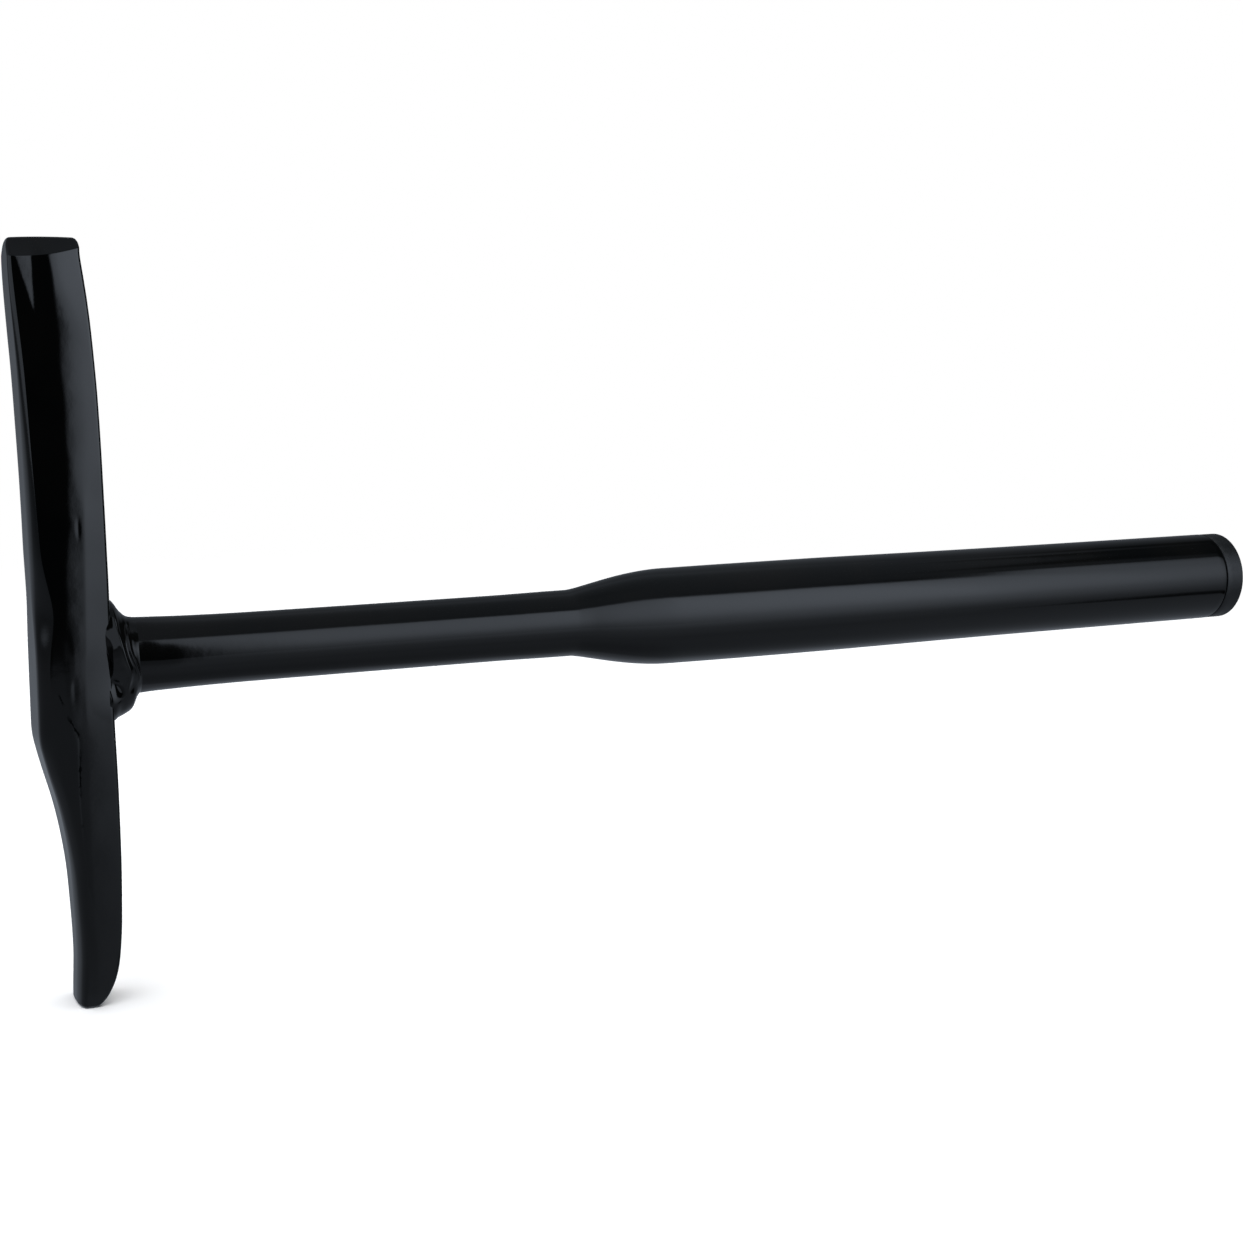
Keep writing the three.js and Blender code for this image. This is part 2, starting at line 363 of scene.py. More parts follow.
def section_template():
    """Columns of a round-cornered section: where each lies between the corners' centres, and
    which way it is offset from there by the corner radius."""
    columns = []
    for point in range(SIDE_POINTS):
        columns.append((-1 + 2 * point / SIDE_POINTS, -1, 0, -1))
    corners = ((1, -1, -90), (1, 1, 0), (-1, 1, 90), (-1, -1, 180))
    for number, (across, up, start) in enumerate(corners):
        for point in range(ARC_POINTS):
            angle = math.radians(start + 90 * point / ARC_POINTS)
            columns.append((across, up, math.cos(angle), math.sin(angle)))
        if number == 0:
            columns.extend((1, -1 + 2 * point / FACE_POINTS, 1, 0) for point in range(FACE_POINTS))
        if number == 1:
            columns.extend((1 - 2 * point / SIDE_POINTS, 1, 0, 1) for point in range(SIDE_POINTS))
        if number == 2:
            columns.extend((-1, 1 - 2 * point / FACE_POINTS, -1, 0) for point in range(FACE_POINTS))
    return np.array(columns).T


def side_relief(across, height, near):
    """How far a broad side stands out at a place across the head, over its plain taper."""
    wander = WANDER * np.sin(height / WANDER_LENGTH) * ease((WANDER_END - height) / WANDER_FADE)
    wander = wander + FINE_WANDER * np.sin(height / FINE_WANDER_LENGTH)
    middle = np.tan(np.radians(middle_fall(height)))
    front = np.tan(np.radians(front_fall(height)))
    past_ridge = soft_ramp(across - ridge_place(height) - wander, RIDGE_ROUNDING)
    soft = ease((height - CREASE_SOFTENS) / CREASE_SOFTENS_OVER)
    crease_width = CREASE_CRISP + (CREASE_SOFT - CREASE_CRISP) * soft
    past_crease = soft_ramp(across - crease_place(height), crease_width)
    relief = SIDE_RISE * (across + RELIEF_START)
    relief = relief - (SIDE_RISE + middle) * past_ridge - (front - middle) * past_crease
    rounded = np.minimum(past_ridge, MIDDLE_ROUNDING_REACH)
    relief = relief - MIDDLE_ROUNDING * rounded * (past_ridge - rounded / 2)
    if near:
        share = (height - WEDGE_FOOT) / (WEDGE_TOP - WEDGE_FOOT)
        wedge_left = WEDGE_RIGHT + (WEDGE_BACK - WEDGE_RIGHT) * np.clip(share, 0, 1.2)
        past_left = soft_ramp(across - wedge_left, WEDGE_ROUNDING)
        past_right = soft_ramp(across - WEDGE_RIGHT, WEDGE_ROUNDING)
        inside = past_left - past_right
        relief = relief - WEDGE_SLOPE * np.maximum(0, inside) * ease(share * 4)
    return relief


# Height of the ground bevel under the top edge, by share of the way from the back to the front.
bevel_height = smooth_line([0, 0.45, 0.72, 1], np.array([4.3, 4.1, 3.5, 2.4]) * MM)


def head_grid():
    place_x, place_y, turn_x, turn_y = section_template()
    heights = spaced((
        (HEAD_LOW.z, -70 * MM, 0.5 * MM),
        (-70 * MM, 88 * MM, 0.8 * MM),
        (88 * MM, HEAD_HIGH.z - 5 * MM, 0.3 * MM),
        (HEAD_HIGH.z - 5 * MM, HEAD_HIGH.z, 0.12 * MM),
    ))
    turns = np.linspace(0, math.pi / 2, HEAD_END_ROWS + 1)
    rounded_heights = HEAD_END_ROUNDING * np.sin(turns)
    rounded_insets = HEAD_END_ROUNDING * (1 - np.cos(turns))
    first = HEAD_LOW.z + HEAD_END_ROUNDING
    last = HEAD_HIGH.z - HEAD_END_ROUNDING
    inner = heights[(heights > first) & (heights < last)]
    foot = first - rounded_heights[::-1]
    crown = last + rounded_heights
    heights = np.concatenate((foot, inner, crown))
    insets = np.concatenate((rounded_insets[::-1], np.zeros_like(inner), rounded_insets))

    height = heights[:, None]
    inset = insets[:, None]
    back = back_line(height) + inset
    front = front_line(height) - inset
    half = side_line(height)
    room = np.minimum((front - back) / 2, half) - LEAST_FLAT
    radius_back = np.clip(back_corner(height) - inset, LEAST_CORNER, room)
    radius_front = np.clip(FRONT_CORNER - inset, LEAST_CORNER, room)
    share = (place_x + 1) / 2
    radius = radius_back + (radius_front - radius_back) * share
    flat = front - back - radius_back - radius_front
    x = back + radius_back + flat * share + turn_x * radius
    spread = back_spread(height) * (1 - share) + share
    radius_y = np.minimum(radius * spread, half - LEAST_FLAT)
    y_share = (place_y * (half - radius_y) + turn_y * radius_y) / half

    across = x - EYE_MIDDLE
    across_share = np.clip((x - back) / (front - back), 0, 1)
    top = HEAD_HIGH.z
    near = np.broadcast_to(y_share < 0, x.shape)
    relief = np.where(near, side_relief(across, height, True), side_relief(across, height, False))
    bevel_slope = (side_line(TAPER_END) + relief - TOP_EDGE_HALF) / bevel_height(across_share)
    limit = TOP_EDGE_HALF + bevel_slope * (top - height)
    full = soft_least(half + relief, limit, BEVEL_RIDGE_ROUNDING)
    y = y_share * np.maximum(full - inset, LEAST_HALF)
    by_top = ease((height - top + TOP_CROWN_REACH) / TOP_CROWN_REACH)
    drop = TOP_CROWN * (2 * across_share - 1) ** 2 * by_top
    z = np.broadcast_to(height, x.shape) - drop
    return np.stack([x, y, z], axis=2)


# The faint seam left on the near side by the dies: millimetres up the head and from its back,
# none of them further from it than the limit.
SEAM = (
    (-60, 10.6), (-52, 9.4), (-43, 8.9), (-26.5, 8.5), (-17.7, 8.8), (-14.8, 7.7), (-11.5, 6.2),
    (-8.5, 5.2), (-5.6, 4.2),
)
SEAM_LIMIT = 12
SEAM_WIDTH = 0.3 * MM
SEAM_DEPTH = 0.012 * MM
seam_heights = np.array([height for height, _ in SEAM]) * MM
seam_line = steady_line(seam_heights, np.array([place for _, place in SEAM]) * MM)

# Dents in the near side, in millimetres: place from the middle of the bar, height, half width,
# half height and depth.
DENTS = (
    (1.9, 31.9, 0.32, 1.5, 0.035),
    (-0.4, 33.2, 0.35, 0.7, 0.012),
    (-1.9, 2.0, 0.8, 4.5, 0.08),
    (-0.6, -5.5, 0.6, 2.6, 0.02),
)


def forge_marks(grid):
    """Hammered waviness, a few dents and the seam."""
    normals = surface_normals(grid)
    wave = 0.025 * MM * rough(grid, 11 * MM, 1) + 0.006 * MM * rough(grid, 4 * MM, 2)
    height = grid[..., 2]
    across = grid[..., 0] - EYE_MIDDLE
    on_near = ease((-grid[..., 1] - 4 * MM) / (2 * MM))
    eye = np.exp(-((height - 2 * MM) / (16 * MM)) ** 2)
    wave = wave + 0.02 * MM * eye * rough(grid * [1.6, 1, 0.7], 5 * MM, 3)

    from_seam = (grid[..., 0] - seam_line(height)) / SEAM_WIDTH
    above = ease((height - seam_heights[0]) / (8 * MM))
    below = ease((seam_heights[-1] - height) / (3 * MM))
    seam = -SEAM_DEPTH * np.exp(-from_seam ** 2) * (above * below) * on_near

    dents = np.zeros_like(height)
    for dent_x, dent_z, wide, tall, deep in DENTS:
        from_x = (across - dent_x * MM) / (wide * MM)
        from_z = (height - dent_z * MM) / (tall * MM)
        dents = dents - deep * MM * np.exp(-from_x ** 2 - from_z ** 2) * on_near
    return grid + normals * (wave + seam + dents)[..., None]


# Where the section's columns reach the flats of its front, far side and back.
FRONT_START = SIDE_POINTS + ARC_POINTS
FAR_START = FRONT_START + FACE_POINTS + ARC_POINTS
BACK_START = FAR_START + SIDE_POINTS + ARC_POINTS


def met_row(row, total, flats, flat_count):
    """A row of columns moved to where they meet in pairs that add up to a total. Each of two
    flats, which pair with themselves, shrinks to one point."""
    met = (row + row[total - np.arange(len(row))]) / 2
    for start in flats:
        met[start:start + flat_count + 1] = met[start:start + flat_count + 1].mean(axis=0)
    return met


def zipped(grid):
    """The head closed by one more row at each end, squeezed to a line on which the front meets
    the back at the foot, and the near side meets the far side at the top."""
    foot = met_row(grid[0], SIDE_POINTS, (0, FAR_START), SIDE_POINTS)
    near_to_far = 2 * FRONT_START + FACE_POINTS
    top = met_row(grid[-1], near_to_far, (FRONT_START, BACK_START), FACE_POINTS)
    foot[:, 0] = (grid[0, :, 0].min() + grid[0, :, 0].max()) / 2
    top[:, 1] = (grid[-1, :, 1].min() + grid[-1, :, 1].max()) / 2
    return np.concatenate((foot[None], grid, top[None]))


def make_head(material):
    grid = forge_marks(head_grid())
    piece = closed_grid("forged_head", zipped(grid), cap_start=False, cap_end=False)
    finish_piece(piece, "hammer_head", material)


# --- Swaged tube -------------------------------------------------------------------------------

TUBE_COLUMNS = 200
BORE_STEP = 4 * MM
RIM_ROWS = 5

# The near side of the neck was dressed slightly flat beside the weld.
DRESSED_DEPTH = 0.6 * MM
DRESSED_REACH = 10 * MM

# The end of the neck is a little more uneven than the rest, from the heat of welding.
HEATED_WAVE = 0.06 * MM
HEATED_END = 22 * MM
HEATED_FADE = 16 * MM


def turned_grid(places, radii, columns):
    angles = np.linspace(0, 2 * math.pi, columns, endpoint=False)
    x = np.broadcast_to(np.asarray(places)[:, None], (len(places), columns))
    radius = np.asarray(radii)[:, None]
    return np.stack([x, radius * np.sin(angles), radius * np.cos(angles)], axis=2)


def dressed_flat(along, to_near):
    """Metal taken off the neck, where to_near is 1 on the near side and -1 on the far side."""
    return DRESSED_DEPTH * bump(along, EYE_FRONT, DRESSED_REACH) * ease((to_near - 0.2) / 0.5)


def make_tube(material):
    outside = spaced((
        (TUBE_LOW.x, 60 * MM, 0.9 * MM),
        (60 * MM, 128 * MM, 1.6 * MM),
        (128 * MM, 175 * MM, 0.7 * MM),
        (175 * MM, TUBE_HIGH.x - TUBE_EDGE, 1.6 * MM),
    ))
    turns = np.linspace(0, math.pi / 2, RIM_ROWS + 1)[1:]
    rim_places = TUBE_HIGH.x - TUBE_EDGE + TUBE_EDGE * np.sin(turns)
    rim_radii = TUBE_RADIUS - TUBE_EDGE + TUBE_EDGE * np.cos(turns)
    bore_places = spaced(((TUBE_LOW.x, TUBE_HIGH.x, BORE_STEP),))[::-1]
    places = np.concatenate((outside, rim_places, bore_places))
    radii = np.concatenate((tube_line(outside), rim_radii, bore_line(bore_places)))
    grid = turned_grid(places, radii, TUBE_COLUMNS)
    outer_rows = np.arange(len(places)) < len(outside)
    wave = 0.02 * MM * rough(grid * [0.6, 1, 1], 13 * MM, 6) + 0.006 * MM * rough(grid, 4 * MM, 7)
    by_weld = ease((TUBE_LOW.x + HEATED_END - grid[..., 0]) / HEATED_FADE)
    wave = wave + HEATED_WAVE * by_weld * rough(grid, 6 * MM, 8)
    to_near = -grid[..., 1] / np.hypot(grid[..., 1], grid[..., 2])
    wave = (wave - dressed_flat(grid[..., 0], to_near)) * outer_rows[:, None]
    normals = surface_normals(grid)
    outward = np.sign(normals[..., 1] * grid[..., 1] + normals[..., 2] * grid[..., 2])
    grid = grid + normals * (outward * wave)[..., None]
    piece = closed_grid("swaged_tube", grid, ring=True)
    finish_piece(piece, "handle_tube", material)


# --- Weld runs ---------------------------------------------------------------------------------

WELD_ROWS = 150
WELD_COLUMNS = 64
WELD_ROOT = 1.6 * MM
WELD_OVERLAP = 1 * MM
END_DROP = 0.5 * MM

# The run's height up the head and its length along the tube, by degrees round from the top.
weld_leg = smooth_line(
    [0, 30, 60, 90, 120, 150, 180],
    np.array([4.7, 4.0, 2.2, 1.5, 2.6, 5.0, 6.4]) * MM,
)
weld_length = smooth_line(
    [0, 30, 60, 90, 120, 150, 180],
    np.array([7.4, 7.0, 6.5, 6.4, 7.0, 7.4, 7.3]) * MM,
)

# How that height falls away along the tube: in a hollow at the top, and bluntly underneath. One
# changes to the other over these degrees.
hollow_fall = steady_line([0, 0.08, 0.2, 0.48, 0.68, 0.82, 1], [1, 0.97, 0.87, 0.3, 0.07, 0.03, 0])
blunt_fall = steady_line([0, 0.08, 0.27, 0.5, 0.67, 0.88, 1], [1, 0.98, 0.83, 0.72, 0.61, 0.13, 0])
BLUNT_START = 40
BLUNT_SPREAD = 110

# Places along the tube, by degrees round from the top of the near run: its edge on the side of
# the head, and two ridges of weld metal.
near_edge = smooth_line(
    [0, 25, 46, 68, 87, 105, 119, 140, 180],
    np.array([17, 16.4, 15.9, 16.1, 16.9, 16.9, 16.5, 16.2, 17]) * MM,
)
inner_ridge = smooth_line(
    [10, 30, 55, 73, 93, 103, 117, 130],
    np.array([18.0, 18.3, 18.85, 19.4, 20.4, 21.0, 20.8, 20.5]) * MM,
)
outer_ridge = smooth_line(
    [25, 55, 73, 93, 105, 125],
    np.array([21.3, 21.05, 21.2, 22.4, 23.2, 23.6]) * MM,
)
INNER_RIDGE_HEIGHT = 0.5 * MM
INNER_RIDGE_WIDTH = 0.6 * MM
INNER_RIDGE_DEGREES = (14, 40, 116, 140)
OUTER_RIDGE_HEIGHT = 0.6 * MM
OUTER_RIDGE_WIDTH = 0.36 * MM
OUTER_RIDGE_DEGREES = (22, 46, 108, 128)
CRATER_DEPTH = 1 * MM
CRATER_PLACE = 17.9 * MM
CRATER_WIDTH = 1.2 * MM
CRATER_DEGREES = 128
CRATER_SPREAD = 8

# The far run's edge is this share of the near run's place plus this much, so it wavers less.
FAR_EDGE_SHARE = 0.5
FAR_EDGE_START = 8.4 * MM
FAR_RIPPLES = 11
FAR_RIPPLE_LAG = 3.2 * MM
FAR_RIPPLE_DEGREES = (0, 20, 160, 180)
FAR_RIPPLE_DEPTH = 0.16 * MM
FINE_RIPPLE_DEPTH = 0.06 * MM
FAR_SINK = 0.12 * MM

# The near run's height off the tube where the tube ends, by degrees round from the top. From
# there it rises towards the inner ridge and falls to the tube again at one slope, and it meets
# the side of the head at a slope no gentler than LEAST_CLIMB.
tent_start = smooth_line(
    [30, 55, 75, 95, 110, 125, 145],
    np.array([2.5, 1.9, 0.9, 0.15, 0.15, 0.5, 1.2]) * MM,
)
TENT_SLOPE = 0.42
TENT_ROUNDING = 0.6 * MM
TENT_DEGREES = (30, 55, 118, 142)
LEAST_CLIMB = 0.9
CLIMB_ROUNDING = 0.4


def head_reach(along, degrees):
    """Distance from the handle's axis to the broad side of the head, in a direction across it."""
    sine = np.maximum(0.25, np.sin(np.radians(degrees)))
    cosine = np.cos(np.radians(degrees))
    reach = side_line(0.0) / sine
    for _ in range(3):
        height = np.clip(reach * cosine, -25 * MM, 25 * MM)
        side = side_line(height) + side_relief(along - EYE_MIDDLE, height, False)
        past_flat = np.clip(along - front_line(height) + FRONT_CORNER, 0, FRONT_CORNER)
        rounding = FRONT_CORNER - np.sqrt(FRONT_CORNER ** 2 - past_flat ** 2)
        reach = (side - rounding) / sine
    return reach


def near_relief(along, degrees):
    """The two ridges, and the crater that ends the sunk strip between them and the head."""
    inner = inner_ridge(degrees)
    outer = outer_ridge(degrees)
    on_inner = present(degrees, INNER_RIDGE_DEGREES)
    on_outer = present(degrees, OUTER_RIDGE_DEGREES)
    ridges = INNER_RIDGE_HEIGHT * bump(along, inner, INNER_RIDGE_WIDTH) * on_inner
    ridges = ridges + OUTER_RIDGE_HEIGHT * bump(along, outer, OUTER_RIDGE_WIDTH) * on_outer
    crater = bump(along, CRATER_PLACE, CRATER_WIDTH) * bump(degrees, CRATER_DEGREES, CRATER_SPREAD)
    return ridges - CRATER_DEPTH * crater


def far_relief(along, degrees):
    """Even, slightly crescent-shaped ripples left by a steady run."""
    phase = np.radians(degrees) * FAR_RIPPLES + (along - WELD_LOW.x) / FAR_RIPPLE_LAG
    ripples = FAR_RIPPLE_DEPTH * np.sin(phase) + FINE_RIPPLE_DEPTH * np.sin(2.3 * phase)
    return ripples * present(degrees, FAR_RIPPLE_DEGREES)


def weld_grid(side):
    """One run, as rings round the bead's own section: out over its face and back underneath. The
    near run's two ends lie over the far run's."""
    near = side < 0
    reach_past = 4 if near else 1
    degrees = np.linspace(-reach_past, 180 + reach_past, WELD_ROWS)[:, None]
    share = np.linspace(0, 1, WELD_COLUMNS)[None, :]
    edge = near_edge(degrees)
    if not near:
        edge = edge * FAR_EDGE_SHARE + FAR_EDGE_START
    start = edge - WELD_OVERLAP
    toe = EYE_FRONT + weld_length(degrees)
    along = start + (toe - start) * share
    angle = np.radians(degrees)
    tube = tube_line(np.maximum(along, TUBE_LOW.x)) - dressed_flat(along, -side * np.sin(angle))
    done = np.clip((along - EYE_FRONT) / weld_length(degrees), 0, 1)
    blunt = ease((degrees - BLUNT_START) / BLUNT_SPREAD)
    fillet = weld_leg(degrees) * (hollow_fall(done) * (1 - blunt) + blunt_fall(done) * blunt)
    if near:
        rise = tent_start(degrees) + TENT_SLOPE * (along - TUBE_LOW.x)
        tent = soft_least(rise, TENT_SLOPE * (toe - along), TENT_ROUNDING)
        on_side = present(degrees, TENT_DEGREES)
        fillet = fillet * (1 - on_side) + tent * on_side
    relief = near_relief(along, degrees) if near else far_relief(along, degrees) - FAR_SINK
    across = side * tube * np.sin(angle)
    points = np.stack([np.broadcast_to(along, tube.shape), across, tube * np.cos(angle)], axis=2)
    lumps = 0.12 * MM * rough(points, 3.4 * MM, 9 + side)
    lumps = lumps + 0.03 * MM * rough(points, 1.3 * MM, 12 + side)
    fade_out = ease((1 - share) / 0.16)
    ends = ease((degrees + reach_past) / 4) * ease((180 + reach_past - degrees) / 4)
    raised = tube + fillet + (relief + lumps) * fade_out - END_DROP * (1 - ends)
    at_edge = head_reach(edge, degrees)
    climb = (tube_line(TUBE_LOW.x) + 0.4 * MM - at_edge) / (TUBE_LOW.x - 0.2 * MM - edge)
    slope = LEAST_CLIMB + soft_ramp(climb - LEAST_CLIMB, CLIMB_ROUNDING)
    on_head = at_edge + slope * (along - edge)
    face = soft_least(raised, on_head, 0.25 * MM) - 0.05 * MM * (1 - fade_out)
    under = np.minimum(face - 0.4 * MM, tube - WELD_ROOT)
    radius = np.concatenate((face, under[:, ::-1]), axis=1)
    place = np.concatenate((along, along[:, ::-1]), axis=1)
    return np.stack([place, side * radius * np.sin(angle), radius * np.cos(angle)], axis=2)


def make_weld(name, node, side, material):
    piece = closed_grid(name, weld_grid(side))
    finish_piece(piece, node, material)


# --- End plug ----------------------------------------------------------------------------------

PLUG_COLUMNS = 160
PLUG_EDGE_ROWS = 9
PLUG_FINS = 4
PLUG_EDGE = 0.55 * MM
PLUG_DISH = 0.12 * MM
GATE_RADIUS = 1.3 * MM
GATE_DEPTH = 0.25 * MM


def make_plug(material):
    plug_points = cad_points("end_plug")
    radius = PLUG_HIGH.z
    cad_radii = from_axis(plug_points)
    seat = plug_points[cad_radii > radius - 0.05 * MM][:, 0].min()
    fin_radius = cad_radii[plug_points[:, 0] < seat - MM].max()
    at_tip = np.abs(plug_points[:, 0] - PLUG_LOW.x) < SAME_PLACE
    core_radius = cad_radii[at_tip].max()
    hollow_radius = cad_radii[at_tip].min()
    face = PLUG_HIGH.x

    profile = [(seat, 0.02 * MM), (seat, hollow_radius - 0.3 * MM), (seat - 0.3 * MM, hollow_radius)]
    profile += [(PLUG_LOW.x, hollow_radius), (PLUG_LOW.x, core_radius - 0.2 * MM)]
    pitch = (seat - PLUG_LOW.x) / (PLUG_FINS + 0.5)
    for fin in range(PLUG_FINS):
        place = PLUG_LOW.x + (fin + 0.5) * pitch
        profile += [(place, core_radius), (place + 0.5 * MM, fin_radius - 0.15 * MM)]
        profile += [(place + 0.8 * MM, fin_radius), (place + 1.15 * MM, fin_radius - 0.1 * MM)]
        profile += [(place + 1.3 * MM, core_radius)]
    profile += [(seat - 0.2 * MM, core_radius), (seat, core_radius + 0.2 * MM)]
    profile += [(seat, radius - 0.25 * MM)]
    profile += [(seat + 0.07 * MM, radius - 0.07 * MM), (seat + 0.25 * MM, radius)]
    profile += [(seat + 2 * MM, radius), (face - PLUG_EDGE - MM, radius)]
    for turn in np.linspace(0, math.pi / 2, PLUG_EDGE_ROWS):
        place = face - PLUG_EDGE + PLUG_EDGE * math.sin(turn)
        profile.append((place, radius - PLUG_EDGE + PLUG_EDGE * math.cos(turn)))
    for share in np.linspace(0.9, 0.15, 9):
        reach = share * (radius - PLUG_EDGE)
        profile.append((face - PLUG_DISH * (1 - share * share), reach))
    rim = face - PLUG_DISH
    profile += [(rim, GATE_RADIUS + 0.15 * MM), (rim - 0.08 * MM, GATE_RADIUS)]
    profile += [(rim - GATE_DEPTH, GATE_RADIUS - 0.25 * MM), (rim - GATE_DEPTH, 0.02 * MM)]
    places, radii = zip(*profile)
    piece = closed_grid("tube_plug", turned_grid(places, radii, PLUG_COLUMNS))
    finish_piece(piece, "end_plug", material)


# --- Materials ---------------------------------------------------------------------------------


def new_material(name):
    material = bpy.data.materials.new(name)
    material.use_nodes = True
    tree = material.node_tree
    shader = next(node for node in tree.nodes if node.type == "BSDF_PRINCIPLED")
    return material, tree, shader


def noise_value(tree, size, detail=2.0, stretch=(1, 1, 1)):
    """Procedural noise in the row's own frame, with features of the given size."""
    place = tree.nodes.new("ShaderNodeTexCoord")
    mapping = tree.nodes.new("ShaderNodeMapping")
    mapping.inputs["Scale"].default_value = stretch
    tree.links.new(place.outputs["Object"], mapping.inputs["Vector"])
    texture = tree.nodes.new("ShaderNodeTexNoise")
    texture.inputs["Scale"].default_value = 1 / size
    texture.inputs["Detail"].default_value = detail
    tree.links.new(mapping.outputs["Vector"], texture.inputs["Vector"])
    return texture.outputs["Fac"]


def mapped(tree, value, low, high, to_low, to_high, kind="SMOOTHSTEP"):
    node = tree.nodes.new("ShaderNodeMapRange")
    node.interpolation_type = kind
    node.inputs["From Min"].default_value = low
    node.inputs["From Max"].default_value = high
    node.inputs["To Min"].default_value = to_low
    node.inputs["To Max"].default_value = to_high
    tree.links.new(value, node.inputs["Value"])
    return node.outputs["Result"]


def calculated(tree, operation, first, second=None):
    node = tree.nodes.new("ShaderNodeMath")
    node.operation = operation
    for socket, value in zip(node.inputs, (first, second)):
        if isinstance(value, (int, float)):
            socket.default_value = value
        elif value is not None:
            tree.links.new(value, socket)
    return node.outputs["Value"]


def product(tree, *values):
    result = values[0]
    for value in values[1:]:
        result = calculated(tree, "MULTIPLY", result, value)
    return result


def curve_value(tree, value, points, top):
    """A smooth curve through (place, height) points, flat before the first and past the last, with
    all its heights under top."""
    start, end = points[0][0], points[-1][0]
    share = mapped(tree, value, start, end, 0, 1, "LINEAR")
    node = tree.nodes.new("ShaderNodeFloatCurve")
    curve = node.mapping.curves[0]
    spots = [((place - start) / (end - start), height / top) for place, height in points]
    curve.points[0].location = spots[0]
    curve.points[1].location = spots[-1]
    for spot in spots[1:-1]:
        curve.points.new(*spot)
    node.mapping.extend = "HORIZONTAL"
    node.mapping.update()
    tree.links.new(share, node.inputs["Value"])
    return calculated(tree, "MULTIPLY", node.outputs["Value"], float(top))


def mixed_colour(tree, share, first, second):
    node = tree.nodes.new("ShaderNodeMix")
    node.data_type = "RGBA"
    tree.links.new(share, node.inputs["Factor"])
    for socket, colour in ((node.inputs[6], first), (node.inputs[7], second)):
        if isinstance(colour, tuple):
            socket.default_value = (*colour, 1)
        else:
            tree.links.new(colour, socket)
    return node.outputs[2]


def bumped(tree, height, depth, before=None):
    node = tree.nodes.new("ShaderNodeBump")
    node.inputs["Distance"].default_value = depth
    tree.links.new(height, node.inputs["Height"])
    if before is not None:
        tree.links.new(before, node.inputs["Normal"])
    return node.outputs["Normal"]


def edge_wear(tree, low, high):
    """1 on the sharpest outside edges, broken up so that the wear isn't an even line."""
    geometry = tree.nodes.new("ShaderNodeNewGeometry")
    sharp = mapped(tree, geometry.outputs["Pointiness"], low, high, 0, 1)
    broken = mapped(tree, noise_value(tree, 2.5 * MM, 4), 0.45, 0.7, 0, 1)
    return calculated(tree, "MULTIPLY", sharp, broken)


def gloss_paint(name, roughness, peel_depth, grit_depth, ior=1.5):
    """Black gloss enamel: cool and warm blacks, orange peel, fine grit and paint thinned at edges."""
    material, tree, shader = new_material(name)
    patches = mapped(tree, noise_value(tree, 22 * MM, 3), 0.35, 0.65, 0, 1)
    black = mixed_colour(tree, patches, (0.0012, 0.0015, 0.0016), (0.0022, 0.0023, 0.0022))
    wear = edge_wear(tree, 0.53, 0.62)
    colour = mixed_colour(tree, wear, black, (0.016, 0.016, 0.017))
    tree.links.new(colour, shader.inputs["Base Color"])

    haze = mapped(tree, noise_value(tree, 9 * MM, 5), 0.3, 0.75, roughness * 0.85, roughness * 1.2)
    worn = calculated(tree, "MULTIPLY", wear, 0.15)
    tree.links.new(calculated(tree, "ADD", haze, worn), shader.inputs["Roughness"])

    peel = bumped(tree, noise_value(tree, 1.7 * MM, 1.5), peel_depth)
    grit = bumped(tree, noise_value(tree, 0.35 * MM, 2), grit_depth, peel)
    tree.links.new(grit, shader.inputs["Normal"])
    shader.inputs["IOR"].default_value = ior
    return material, tree, shader


# Specular IOR Level of the enamel, in the open and under the painted shade of the seam.
UNSHADED_SHINE = 0.5
SEAM_SHADE_SHINE = 0.06


def head_paint():
    """The gloss enamel, with a broken dark line of painted shade lying in the head's seam."""
    material, tree, shader = gloss_paint("head_gloss_black", 0.08, 0.004 * MM, 0.001 * MM, 1.6)
    place = tree.nodes.new("ShaderNodeTexCoord")
    split = tree.nodes.new("ShaderNodeSeparateXYZ")
    tree.links.new(place.outputs["Object"], split.inputs["Vector"])
    across = calculated(tree, "DIVIDE", split.outputs["X"], MM)
    height = calculated(tree, "DIVIDE", split.outputs["Z"], MM)
    seam = curve_value(tree, height, SEAM, SEAM_LIMIT)
    from_seam = calculated(tree, "ABSOLUTE", calculated(tree, "SUBTRACT", across, seam))
    width = mapped(tree, noise_value(tree, 1.1 * MM, 3), 0.35, 0.65, 0.1, 0.5)
    in_seam = mapped(tree, calculated(tree, "DIVIDE", from_seam, width), 0.5, 1.2, 1, 0)

    rarer_below = mapped(tree, height, -16, -30, 0, 0.11)
    ticks = calculated(tree, "SUBTRACT", noise_value(tree, 5 * MM, 2), rarer_below)
    ticks = mapped(tree, ticks, 0.42, 0.56, 0, 1)
    foot, top = SEAM[0][0], SEAM[-1][0]
    from_foot = mapped(tree, height, foot, foot + 20, 0, 1)
    to_top = mapped(tree, height, top, top - 1.5, 0, 1)
    near = mapped(tree, split.outputs["Y"], -3 * MM, -5 * MM, 0, 1)
    # Painted shade: the shine is cut in broken pieces along the seam, so that the seam reads as a
    # dark, shaded groove.
    seam_shade = product(tree, in_seam, ticks, from_foot, to_top, near)
    level = mapped(tree, seam_shade, 0, 1, UNSHADED_SHINE, SEAM_SHADE_SHINE, "LINEAR")
    tree.links.new(level, shader.inputs["Specular IOR Level"])
    return material


